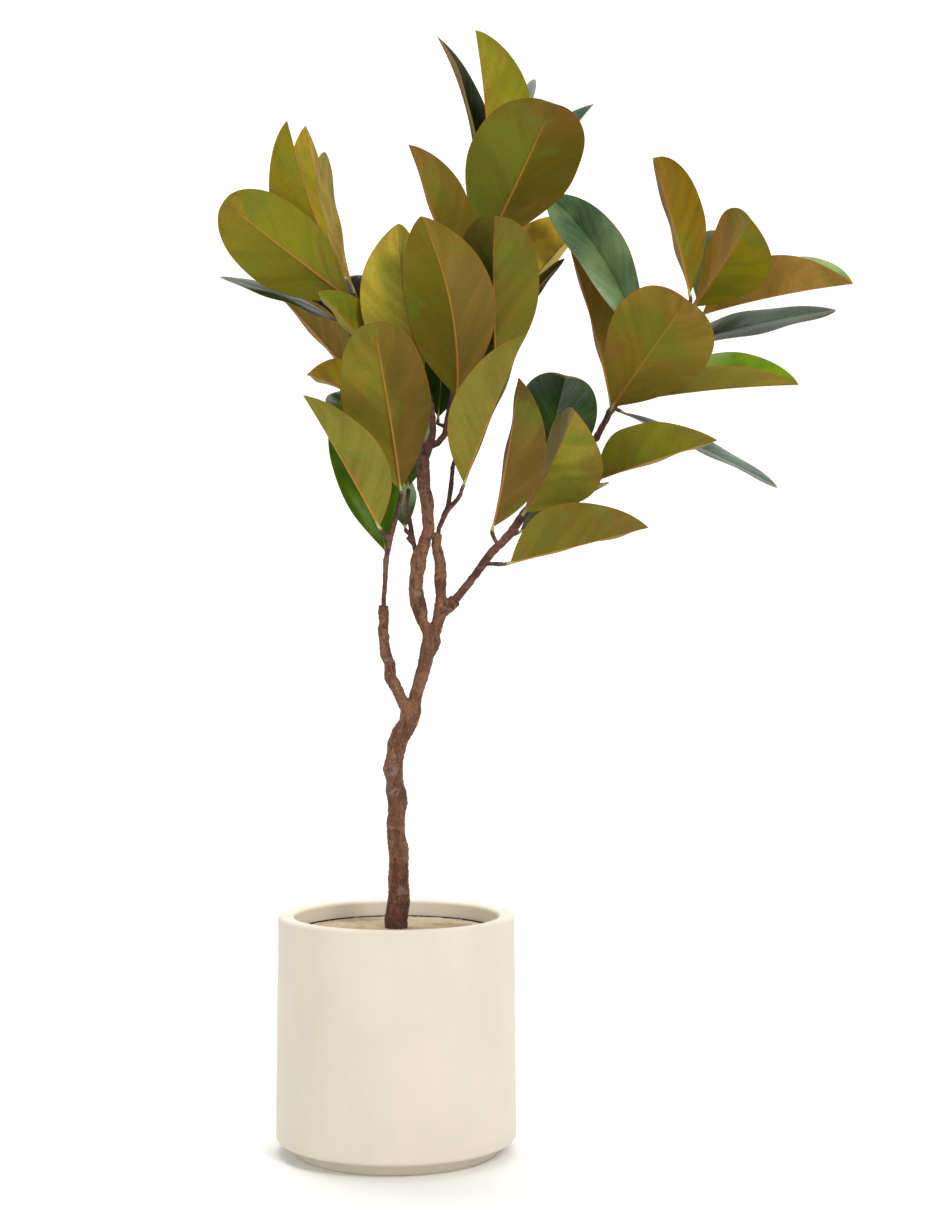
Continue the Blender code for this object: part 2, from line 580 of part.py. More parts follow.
def main():
    clear_scene()
    groups = {
        "parts": make_collection("potted_rubber_plant"),
        "cutters": make_collection("cutters"),
    }
    cream = make_material("cream_ceramic", (0.83, 0.77, 0.65), 0.55)
    black = make_material("black_plastic", (0.02, 0.02, 0.02), 0.5)
    sand = make_material("sand_fill", (0.40, 0.31, 0.20), 0.95)
    bark = make_material("bark", (0.16, 0.07, 0.04), 0.8)
    twig = make_material("twig_bark", (0.07, 0.03, 0.03), 0.7)
    green = make_material("leaf_green", (0.20, 0.22, 0.04), 0.45)
    make_planter(groups, cream)
    make_liner(groups, black)
    make_fill(groups, sand)
    make_trunk(groups, bark)
    stem_with_twigs("left_spray_stem", LEFT_SPRAY_LINES, "left_spray", groups, twig)
    stem_with_twigs("fork_stem", FORK_LINES, "fork", groups, twig)
    stem_with_twigs("upper_stem", UPPER_LINES, "upper", groups, twig)
    stem_with_twigs("right_branch", RIGHT_BRANCH_LINES, "right", groups, twig)
    stem_with_twigs("back_twig", BACK_TWIG_LINES, "back", groups, twig)
    for leaf in LEAVES:
        make_leaf(leaf, groups["parts"], green)
    hide_cutters(groups["cutters"])


main()
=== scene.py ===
"""Looks for the potted rubber plant: leaves, bark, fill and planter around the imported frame."""
import math

import bpy
import numpy as np
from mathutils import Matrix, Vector


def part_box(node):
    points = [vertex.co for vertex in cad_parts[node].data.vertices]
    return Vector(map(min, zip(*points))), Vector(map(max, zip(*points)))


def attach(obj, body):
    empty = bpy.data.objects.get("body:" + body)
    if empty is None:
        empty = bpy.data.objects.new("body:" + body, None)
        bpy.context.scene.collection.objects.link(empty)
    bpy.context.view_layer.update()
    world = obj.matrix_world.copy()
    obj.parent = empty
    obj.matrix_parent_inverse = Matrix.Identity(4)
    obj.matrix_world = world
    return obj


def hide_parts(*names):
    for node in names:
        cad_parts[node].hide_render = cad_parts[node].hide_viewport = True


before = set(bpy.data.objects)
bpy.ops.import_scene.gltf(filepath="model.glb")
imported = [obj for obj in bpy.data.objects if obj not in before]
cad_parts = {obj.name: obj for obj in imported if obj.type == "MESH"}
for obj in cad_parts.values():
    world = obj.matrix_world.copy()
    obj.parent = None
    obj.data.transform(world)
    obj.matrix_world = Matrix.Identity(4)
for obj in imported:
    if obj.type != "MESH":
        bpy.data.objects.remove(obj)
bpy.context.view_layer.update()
RIM_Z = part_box("planter")[1][2]

# ---------------------------------------------------------------- sizes, in metres
LEAF_LENGTH = 0.225
LEAF_WIDTH = 0.110
LEAF_THICKNESS = 0.0010
LEAF_MARGIN = 0.0005
RIB_HEIGHT = 0.0011
RIB_REACH = 0.0016
PETIOLE_RADIUS = 0.0024
BLADE_CAMBER = 0.05
MARGIN_WAVE = 0.0016
MARGIN_WAVES = 2.3
STALK_SETBACKS = (0.0055, 0.0035, 0.0015)
STALK_TAPER = (1.0, 1.06, 0.96, 0.84, 0.74, 0.60, 0.30)
STALK_SIDES = 10
BASE_HALF_WIDTH = 0.0016
TIP_HALF_WIDTH = 0.0007
ROWS = 49
HALF_COLUMNS = (0.012, 0.03, 0.06, 0.12, 0.21, 0.33, 0.46, 0.60, 0.74, 0.86, 0.95, 0.985, 1.0)

# Size and strength of the coarse and the fine lumps in each kind of bark.
TRUNK_LUMPS = ((0.016, 0.0034), (0.0045, 0.0016))
BRANCH_LUMPS = ((0.008, 0.0022), (0.003, 0.0009))
TWIG_LUMPS = ((0.010, 0.0012), (0.0030, 0.0007))

# The planter's wall, floor and foot.
POT_WALL = 0.0209
POT_FLARE = 0.0025
POT_FLOOR = 0.030
POT_EDGE = 0.005
FOOT_SET_BACK = 0.0234
FOOT_HEIGHT = 0.017
FOOT_EDGE = 0.002

# The fill's top is a crowned disc of rings, roughened by grains.
FILL_CROWN = 0.004
FILL_RINGS = 45
FILL_SIDES = 220
FILL_GRAIN = 0.00035
FILL_EDGE_DROP = 0.0004

# The camera stands level with the lower leaves and looks along +Y.
CAMERA_PLACE = (0.0956, -2.769, 0.704)
CAMERA_LENS_MM = 63.1

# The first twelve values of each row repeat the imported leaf's own:
# name, base point with its height above the rim, heading, rise, roll, length, width,
# fold, bow, sway, belly, tip, then the underside's colours (left, right, tip) and the upper side.
LEAVES = [
    ("crown_a", (0.120, 0.008, 0.9125), 144, 85, 66, 1.08, 1.11, 54, 0.03, 0.00, 0.50, 0.70,
     (137, 130, 24), (149, 141, 26), (144, 139, 36), "green"),
    ("crown_b", (0.105, 0.041, 0.9165), 134, 73, 21, 1.16, 0.62, 28, 0.07, 0.00, 0.50, 0.85,
     (100, 92, 30), (100, 92, 30), (150, 112, 54), "moss"),
    ("crown_c", (0.114, -0.010, 0.8615), -62, 41, -18, 1.04, 1.33, 14, 0.05, 0.02, 0.55, 0.50,
     (118, 120, 38), (102, 88, 19), (132, 92, 40), "green"),
    ("crown_d", (0.134, 0.066, 0.9185), 59, 66, -24, 0.98, 0.50, 0, 0.04, 0.00, 0.60, 0.45,
     (120, 120, 50), (120, 120, 50), (130, 110, 60), "grey"),
    ("crown_e", (0.130, 0.018, 0.9055), 31, 48, 16, 1.02, 0.62, 34, 0.00, 0.00, 0.50, 0.90,
     (120, 120, 50), (120, 120, 50), (130, 110, 60), "grey"),
    ("mid_a", (0.079, 0.005, 0.7995), 153, 71, 63, 0.98, 0.93, 38, 0.02, 0.00, 0.50, 0.80,
     (154, 114, 48), (138, 114, 34), (146, 104, 56), "green"),
    # mid_b's dark first underside colour (55, 71, 11) is painted shadow from the neighbouring leaves.
    ("mid_b", (0.130, -0.018, 0.6875), -92, 61, -13, 1.00, 1.06, 22, 0.04, -0.02, 0.58, 0.50,
     (55, 71, 11), (126, 112, 38), (126, 106, 46), "green"),
    # mid_c's bright yellow underside colours are painted light: raised to show the half lit through,
    # though it sits in shade behind other leaves.
    ("mid_c", (0.122, 0.013, 0.7615), 32, 46, -79, 0.95, 1.15, 50, 0.02, 0.00, 0.60, 0.50,
     (208, 184, 50), (200, 186, 50), (214, 176, 56), "green"),
    # mid_d's dark underside colours and its black upper side are painted shade: the narrow leaf sits in
    # shade below mid_c.
    ("mid_d", (0.134, 0.022, 0.7550), 18, 49, -35, 0.62, 0.36, 6, 0.02, 0.00, 0.50, 0.80,
     (44, 38, 12), (44, 38, 12), (70, 56, 20), "black"),
    ("heart_a", (0.079, -0.044, 0.6675), -108, 56, 20, 1.11, 1.05, 12, 0.03, 0.06, 0.45, 0.80,
     (112, 101, 22), (132, 106, 48), (130, 106, 36), "green"),
    ("heart_b", (0.036, -0.026, 0.6945), -106, 59, 53, 0.93, 1.04, 26, 0.02, -0.03, 0.50, 0.75,
     (188, 170, 60), (156, 168, 54), (192, 162, 62), "green"),
    ("heart_c", (0.054, 0.013, 0.6465), 83, 71, 19, 1.02, 1.04, 16, 0.04, 0.00, 0.50, 0.70,
     (80, 95, 20), (80, 95, 20), (110, 100, 30), "deep"),
    ("heart_d", (0.020, 0.018, 0.6965), 117, 63, 161, 0.92, 0.95, 16, 0.02, 0.00, 0.50, 0.80,
     (150, 150, 30), (150, 150, 30), (160, 145, 40), "green"),
    ("heart_e", (-0.028, 0.031, 0.7435), 118, 51, -34, 0.58, 0.66, 14, 0.03, 0.00, 0.50, 0.70,
     (80, 85, 30), (80, 85, 30), (100, 90, 40), "black"),
    ("left_a", (-0.057, -0.010, 0.7955), -136, 26, 65, 1.03, 0.98, 12, 0.04, 0.00, 0.52, 0.55,
     (131, 125, 32), (133, 131, 34), (139, 116, 40), "green"),
    ("left_b", (-0.072, -0.008, 0.8145), -117, 55, 88, 1.02, 0.95, 34, 0.02, 0.00, 0.50, 0.75,
     (136, 120, 22), (130, 118, 28), (132, 120, 24), "green"),
    ("left_c", (-0.067, 0.016, 0.8185), 152, 74, 160, 1.00, 0.74, 30, 0.02, 0.00, 0.50, 0.80,
     (168, 148, 34), (168, 148, 34), (168, 138, 42), "green"),
    ("left_d", (-0.057, 0.009, 0.8125), -113, 61, 94, 0.82, 0.50, 0, 0.04, 0.00, 0.75, 0.40,
     (176, 150, 68), (176, 150, 68), (168, 142, 70), "green"),
    ("left_e", (-0.070, 0.001, 0.7675), -149, 15, -27, 0.80, 0.60, 0, 0.03, 0.00, 0.50, 0.75,
     (130, 120, 40), (130, 120, 40), (150, 115, 50), "dark"),
    ("low_a", (-0.025, -0.038, 0.7165), -125, 32, 16, 0.61, 0.58, 44, 0.03, 0.00, 0.45, 0.85,
     (151, 142, 28), (138, 138, 26), (153, 151, 34), "green"),
    ("low_b", (-0.041, 0.048, 0.6785), 178, 49, 36, 0.80, 0.68, 30, 0.02, 0.00, 0.50, 0.85,
     (136, 108, 52), (136, 108, 52), (140, 114, 52), "black"),
    ("low_c", (-0.047, 0.082, 0.6985), 141, 54, -57, 0.78, 0.40, 14, 0.03, 0.00, 0.50, 0.70,
     (126, 112, 40), (126, 112, 40), (140, 110, 46), "black"),
    ("low_d", (-0.044, -0.016, 0.6715), -123, 9, 36, 0.52, 0.63, 49, 0.02, 0.00, 0.36, 1.10,
     (164, 138, 30), (164, 138, 30), (168, 140, 40), "green"),
    ("low_e", (-0.013, 0.039, 0.6195), 150, 35, -30, 0.50, 0.70, 14, 0.03, 0.00, 0.50, 0.70,
     (116, 126, 34), (116, 126, 34), (130, 120, 40), "green"),
    # spray_a's second underside colour (100, 82, 28) is painted shadow from the leaves above it.
    ("spray_a", (0.007, -0.060, 0.5485), -103, 57, 23, 1.04, 1.04, 12, 0.03, 0.01, 0.50, 0.50,
     (145, 129, 40), (100, 82, 28), (130, 104, 40), "green"),
    ("spray_b", (-0.020, -0.057, 0.5015), -124, 45, -14, 0.97, 1.00, 32, 0.02, -0.02, 0.45, 0.85,
     (141, 132, 53), (136, 130, 48), (128, 130, 48), "green"),
    ("spray_c", (-0.012, -0.040, 0.4695), 125, 64, -26, 1.01, 0.80, 14, 0.04, 0.00, 0.50, 0.60,
     (100, 115, 20), (100, 115, 20), (110, 105, 30), "bright"),
    ("fork_a", (0.088, -0.052, 0.5565), -60, 50, 19, 1.00, 0.98, 32, 0.02, 0.02, 0.48, 0.80,
     (136, 125, 48), (124, 140, 50), (136, 124, 50), "green"),
    ("fork_b", (0.015, 0.010, 0.5555), 95, 45, 0, 0.75, 0.71, 14, 0.03, 0.00, 0.50, 0.70,
     (140, 150, 40), (140, 150, 40), (140, 140, 40), "bright"),
    ("fork_c", (0.011, 0.012, 0.5025), 102, 30, 0, 0.80, 0.50, 14, 0.03, 0.00, 0.50, 0.70,
     (140, 150, 40), (140, 150, 40), (140, 140, 40), "bright"),
    ("side_a", (0.125, -0.034, 0.5015), -76, 55, -71, 0.97, 0.92, 32, 0.02, 0.00, 0.50, 0.80,
     (105, 81, 33), (117, 90, 40), (86, 70, 23), "green"),
    ("side_b", (0.187, 0.003, 0.5565), 75, 46, 19, 0.99, 0.99, 12, 0.02, 0.00, 0.55, 0.45,
     (100, 115, 30), (100, 115, 30), (110, 105, 30), "deep"),
    ("side_c", (0.165, -0.029, 0.5205), -65, 40, -72, 0.82, 1.18, 36, 0.03, 0.00, 0.50, 0.95,
     (164, 144, 52), (160, 150, 52), (160, 134, 54), "green"),
    ("side_d", (0.258, -0.031, 0.5625), -43, 12, -19, 0.87, 1.02, 30, 0.02, 0.02, 0.42, 0.85,
     (129, 129, 29), (129, 129, 29), (134, 106, 42), "green"),
    ("side_e", (0.147, -0.044, 0.4555), -38, 11, -27, 0.95, 1.06, 35, 0.02, 0.03, 0.42, 0.80,
     (126, 108, 38), (126, 108, 38), (136, 114, 50), "green"),
    ("side_f", (0.160, -0.016, 0.4965), 38, 24, 0, 0.75, 0.59, 25, 0.00, 0.00, 0.50, 0.80,
     (116, 126, 34), (116, 126, 34), (130, 120, 40), "deep"),
    ("tier_a", (0.318, -0.003, 0.7345), 154, 58, -67, 1.10, 0.72, 32, 0.03, -0.07, 0.60, 0.65,
     (130, 118, 40), (130, 118, 40), (140, 110, 46), "blue"),
    ("tier_b", (0.280, 0.018, 0.6665), 139, 72, 72, 1.00, 0.75, 34, 0.02, 0.00, 0.50, 0.80,
     (136, 110, 40), (136, 110, 40), (140, 108, 44), "green"),
    ("tier_c", (0.278, -0.026, 0.6565), -66, 30, -42, 1.00, 1.21, 8, 0.05, 0.00, 0.56, 0.48,
     (152, 126, 40), (146, 123, 42), (142, 120, 40), "green"),
    ("tier_d", (0.290, -0.008, 0.6645), -25, 3, 17, 1.06, 1.06, 42, 0.02, 0.00, 0.50, 0.80,
     (136, 124, 36), (136, 124, 36), (142, 120, 40), "lime"),
    ("tier_e", (0.294, 0.016, 0.6545), 13, -24, 26, 1.05, 0.64, 8, 0.01, 0.00, 0.60, 0.55,
     (130, 118, 40), (130, 118, 40), (150, 120, 50), "grey"),
    ("tip_a", (0.382, 0.005, 0.8065), 137, 72, 77, 0.87, 0.79, 35, 0.02, 0.00, 0.55, 0.45,
     (153, 112, 20), (141, 112, 20), (146, 110, 26), "green"),
    ("tip_b", (0.385, -0.021, 0.7865), -73, 25, -61, 0.86, 0.98, 26, 0.02, 0.00, 0.60, 0.85,
     (159, 118, 31), (143, 131, 16), (146, 118, 32), "green"),
    ("tip_c", (0.397, -0.005, 0.7795), -38, 5, 5, 0.97, 1.13, 50, 0.02, 0.00, 0.50, 0.85,
     (182, 138, 62), (182, 138, 62), (176, 138, 68), "lime"),
    ("tip_d", (0.354, 0.013, 0.7365), 16, 14, 23, 1.10, 0.80, 6, 0.02, 0.00, 0.50, 0.70,
     (130, 118, 40), (130, 118, 40), (120, 120, 50), "dark"),
    ("tip_e", (0.393, 0.023, 0.8015), 68, 35, 32, 0.87, 0.71, 14, 0.03, 0.00, 0.50, 0.70,
     (116, 126, 34), (116, 126, 34), (130, 120, 40), "green"),
]

UPPER_SIDES = {
    "green": ((58, 80, 12), (36, 56, 8), 0.14), "deep": ((40, 64, 5), (20, 38, 3), 0.04),
    "bright": ((80, 110, 10), (52, 82, 6), 0.10), "lime": ((118, 148, 16), (88, 120, 10), 0.15),
    # Painted shade: the black kind darkens the upper sides of leaves that sit in shade.
    "moss": ((58, 68, 5), (26, 34, 2), 0.07), "black": ((24, 30, 8), (8, 14, 4), 0.10),
    # Painted sheen: the blue and grey kinds put the pale reflection of the glossy upper side into its
    # colour.
    "blue": ((106, 130, 80), (68, 94, 58), 0.28), "dark": ((40, 58, 28), (25, 42, 18), 0.12),
    "grey": ((84, 104, 86), (56, 78, 62), 0.30),
}


# ---------------------------------------------------------------- small helpers
def linear(colour):
    """Linear RGBA of an sRGB colour written 0 to 255."""
    shares = [channel / 255.0 for channel in colour]
    return (*[s / 12.92 if s < 0.04045 else ((s + 0.055) / 1.055) ** 2.4 for s in shares], 1.0)


def add_piece(name, mesh, materials, replaced):
    """Link a mesh as a piece of the plant's one body."""
    piece = bpy.data.objects.new(name, mesh)
    bpy.context.scene.collection.objects.link(piece)
    for material in materials:
        mesh.materials.append(material)
    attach(piece, "root")
    if replaced:
        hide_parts(replaced)
    return piece


def mesh_from(name, points, faces, slots=None):
    mesh = bpy.data.meshes.new(name)
    mesh.from_pydata([tuple(point) for point in points], [], faces)
    mesh.polygons.foreach_set("use_smooth", [True] * len(mesh.polygons))
    if slots is not None:
        mesh.polygons.foreach_set("material_index", slots)
    mesh.update()
    return mesh


class Nodes:
    """A material's node tree, with one short method for each node that is used."""

    def __init__(self, name, roughness, specular=0.5):
        self.material = bpy.data.materials.new(name)
        self.material.use_nodes = True
        self.tree = self.material.node_tree
        self.shader = self.tree.nodes["Principled BSDF"]
        self.shader.inputs["Roughness"].default_value = roughness
        self.shader.inputs["Specular IOR Level"].default_value = specular

    def put(self, socket, value):
        if hasattr(value, "is_output"):
            self.tree.links.new(value, socket)
        else:
            socket.default_value = value

    def attribute(self, name):
        node = self.tree.nodes.new("ShaderNodeAttribute")
        node.attribute_name = name
        return node.outputs["Fac"]

    def place(self, stretch=(1, 1, 1), shift=(0, 0, 0)):
        """Object coordinates, stretched and shifted."""
        source = self.tree.nodes.new("ShaderNodeTexCoord")
        node = self.tree.nodes.new("ShaderNodeMapping")
        node.inputs["Scale"].default_value = stretch
        node.inputs["Location"].default_value = shift
        self.tree.links.new(source.outputs["Object"], node.inputs["Vector"])
        return node.outputs["Vector"]

    def join(self, first, second, third):
        node = self.tree.nodes.new("ShaderNodeCombineXYZ")
        for socket, value in zip(node.inputs, (first, second, third)):
            self.put(socket, value)
        return node.outputs["Vector"]

    def noise(self, place, scale, detail=3.0, rough=0.5, twist=0.0):
        node = self.tree.nodes.new("ShaderNodeTexNoise")
        self.tree.links.new(place, node.inputs["Vector"])
        node.inputs["Scale"].default_value = scale
        node.inputs["Detail"].default_value = detail
        node.inputs["Roughness"].default_value = rough
        node.inputs["Distortion"].default_value = twist
        return node.outputs["Fac"]

    def cells(self, place, scale):
        node = self.tree.nodes.new("ShaderNodeTexVoronoi")
        self.tree.links.new(place, node.inputs["Vector"])
        node.inputs["Scale"].default_value = scale
        return node.outputs["Distance"]

    def math(self, operation, first, second=0.0, third=0.0):
        node = self.tree.nodes.new("ShaderNodeMath")
        node.operation = operation
        self.put(node.inputs[0], first)
        self.put(node.inputs[1], second)
        self.put(node.inputs[2], third)
        return node.outputs[0]

    def up(self):
        """Height above the floor in metres."""
        geometry = self.tree.nodes.new("ShaderNodeNewGeometry")
        split = self.tree.nodes.new("ShaderNodeSeparateXYZ")
        self.tree.links.new(geometry.outputs["Position"], split.inputs[0])
        return split.outputs["Z"]

    def band(self, value, start, end, low=0.0, high=1.0):
        """Smooth step from low to high as a value goes from start to end."""
        node = self.tree.nodes.new("ShaderNodeMapRange")
        node.interpolation_type = "SMOOTHSTEP"
        self.put(node.inputs["Value"], value)
        node.inputs["From Min"].default_value = start
        node.inputs["From Max"].default_value = end
        node.inputs["To Min"].default_value = low
        node.inputs["To Max"].default_value = high
        return node.outputs["Result"]

    def blend(self, share, first, second):
        node = self.tree.nodes.new("ShaderNodeMix")
        node.data_type = "RGBA"
        self.put(node.inputs[0], share)
        self.put(node.inputs[6], first)
        self.put(node.inputs[7], second)
        return node.outputs[2]

    def finish(self, colour, rough=None, height=None, depth=0.0005, strength=0.5):
        self.put(self.shader.inputs["Base Color"], colour)
        if rough is not None:
            self.put(self.shader.inputs["Roughness"], rough)
        if height is not None:
            bump = self.tree.nodes.new("ShaderNodeBump")
            bump.inputs["Distance"].default_value = depth
            bump.inputs["Strength"].default_value = strength
            self.put(bump.inputs["Height"], height)
            self.put(self.shader.inputs["Normal"], bump.outputs["Normal"])
        return self.material


# ---------------------------------------------------------------- leaf materials
def vein_lines(nodes, along, across, count, slant, shift):
    """Slanting side veins: 1 on a vein, and broad uneven swells that run beside them."""
    wobble = nodes.noise(nodes.place(), 18.0, 2.0)
    reach = nodes.math("ABSOLUTE", across)
    phase = nodes.math("MULTIPLY", along, count)
    phase = nodes.math("SUBTRACT", phase, nodes.math("MULTIPLY", reach, slant))
    phase = nodes.math("ADD", phase, nodes.math("MULTIPLY", wobble, 0.9))
    saw = nodes.math("PINGPONG", phase, 0.5)
    swell = nodes.noise(nodes.join(phase, nodes.math("MULTIPLY", across, 0.9), shift), 0.8, 1.5)
    return nodes.band(saw, 0.12, 0.0), nodes.band(swell, 0.36, 0.64)


def underside(name, left, right, tip, shift):
    """Bronze-olive underside with green patches, faint side veins, painted shade in the broad swells
    beside them and an orange midrib.
    """
    nodes = Nodes(name, 0.60, 0.05)
    along = nodes.attribute("along")
    across = nodes.attribute("across")
    place = nodes.place(shift=(shift, 0.7 * shift, 1.3 * shift))
    colour = nodes.blend(nodes.band(across, -0.12, 0.12), linear(left), linear(right))
    colour = nodes.blend(nodes.band(along, 0.60, 1.0, 0.0, 0.75), colour, linear(tip))
    leafy = nodes.band(nodes.noise(place, 15.0, 2.0, 0.5, 0.4), 0.50, 0.70, 0.0, 0.55)
    colour = nodes.blend(leafy, colour, linear((104, 126, 40)))
    rusty = nodes.band(nodes.noise(place, 11.0, 3.0, 0.55, 0.8), 0.52, 0.74, 0.0, 0.55)
    colour = nodes.blend(rusty, colour, linear((146, 98, 52)))
    fine = nodes.noise(place, 210.0, 4.0, 0.7)
    colour = nodes.blend(nodes.band(fine, 0.35, 0.65, 0.0, 0.16), colour, linear((84, 74, 22)))
    veins, swell = vein_lines(nodes, along, across, 11.0, 3.4, shift)
    # Painted shade: the broad swells beside the side veins darken the colour, as the leaf's quilting would
    # shade it.
    colour = nodes.blend(nodes.math("MULTIPLY", swell, 0.27), colour, linear((78, 74, 20)))
    colour = nodes.blend(nodes.math("MULTIPLY", veins, 0.035), colour, linear((178, 158, 84)))
    rib = nodes.attribute("rib")
    rib_size = nodes.band(along, 0.0, 0.92, 1.35, 0.35)
    rib_mask = nodes.band(nodes.math("DIVIDE", rib, rib_size), 1.15, 0.7, 0.0, 0.9)
    rib_mask = nodes.math("MULTIPLY", rib_mask, nodes.band(along, 0.93, 0.82))
    colour = nodes.blend(rib_mask, colour, linear((188, 122, 60)))
    edge = nodes.band(nodes.attribute("edge"), 0.95, 0.25, 0.0, 0.75)
    colour = nodes.blend(edge, colour, linear((160, 92, 42)))
    rough = nodes.band(fine, 0.3, 0.7, 0.44, 0.60)
    height = nodes.math("ADD", nodes.math("MULTIPLY", veins, 0.15), nodes.math("MULTIPLY", fine, 0.4))
    height = nodes.math("SUBTRACT", height, nodes.math("MULTIPLY", swell, 0.5))
    return nodes.finish(colour, rough, height, 0.0005, 0.35)


def upper_side(name, kind, shift):
    """Leathery green upper side with a paler midrib and quilted side veins."""
    light, dark, shine = UPPER_SIDES[kind]
    nodes = Nodes(name, 0.40, shine)
    along = nodes.attribute("along")
    across = nodes.attribute("across")
    place = nodes.place(shift=(shift, 0.7 * shift, 1.3 * shift))
    cloud = nodes.band(nodes.noise(place, 16.0, 3.0), 0.35, 0.65)
    # For the blue and grey kinds these colours are painted sheen, and for the black kind painted shade.
    colour = nodes.blend(cloud, linear(light), linear(dark))
    veins, swell = vein_lines(nodes, along, across, 9.0, 3.0, shift)
    pale = tuple(min(255, channel + 34) for channel in light)
    colour = nodes.blend(nodes.math("MULTIPLY", veins, 0.14), colour, linear(pale))
    rib_size = nodes.band(along, 0.0, 0.95, 1.2, 0.35)
    rib_mask = nodes.band(nodes.math("DIVIDE", nodes.attribute("rib"), rib_size), 1.0, 0.5, 0.0, 0.6)
    colour = nodes.blend(rib_mask, colour, linear((112, 124, 60)))
    edge = nodes.band(nodes.attribute("edge"), 0.9, 0.3, 0.0, 0.55)
    colour = nodes.blend(edge, colour, linear((130, 96, 46)))
    colour = nodes.blend(nodes.band(along, 0.95, 1.0, 0.0, 0.7), colour, linear((150, 104, 52)))
    fine = nodes.noise(place, 260.0, 3.0, 0.6)
    rough = nodes.band(fine, 0.3, 0.7, 0.32, 0.46)
    height = nodes.math("ADD", nodes.math("MULTIPLY", fine, 0.2), swell)
    return nodes.finish(colour, rough, height, 0.0010, 0.4)


def petiole_material():
    """Short leaf stalk: purple-brown at the twig, pale green where the blade starts."""
    nodes = Nodes("leaf_stalk", 0.5)
    along = nodes.attribute("along")
    speck = nodes.noise(nodes.place(), 300.0)
    colour = nodes.blend(nodes.band(along, -1.0, -0.75), linear((84, 52, 46)), linear((172, 178, 104)))
    colour = nodes.blend(nodes.band(along, -0.35, 0.0), colour, linear((182, 122, 62)))
    colour = nodes.blend(nodes.band(speck, 0.45, 0.7, 0.0, 0.3), colour, linear((110, 84, 50)))
    return nodes.finish(colour, None, speck, 0.0003, 0.3)


# ---------------------------------------------------------------- leaf shape
def leaf_axes(heading, rise, roll):
    """Unit vectors along, across and above a leaf."""
    turn, lift, spin = (math.radians(angle) for angle in (heading, rise, roll))
    flat = Vector((math.cos(turn), math.sin(turn), 0.0))
    along = flat * math.cos(lift) + Vector((0, 0, math.sin(lift)))
    upward = -flat * math.sin(lift) + Vector((0, 0, math.cos(lift)))
    sideways = upward.cross(along)
    across = sideways * math.cos(spin) + upward * math.sin(spin)
    above = upward * math.cos(spin) - sideways * math.sin(spin)
    return np.array(along), np.array(across), np.array(above)


def half_width_shares(shares, belly, tip):
    near = np.clip((belly - shares) / belly, 0.0, 1.0)
    far = np.clip((shares - belly) / (1.0 - belly), 0.0, 1.0)
    return np.where(shares < belly, (1.0 - near ** 2) ** 1.05, (1.0 - far ** 2.2) ** tip)


def row_shares():
    """Shares of the leaf's length, closer together at the base and the tip."""
    even = np.linspace(0.0, 1.0, ROWS)
    return even - 0.09 * np.sin(2.0 * math.pi * even)


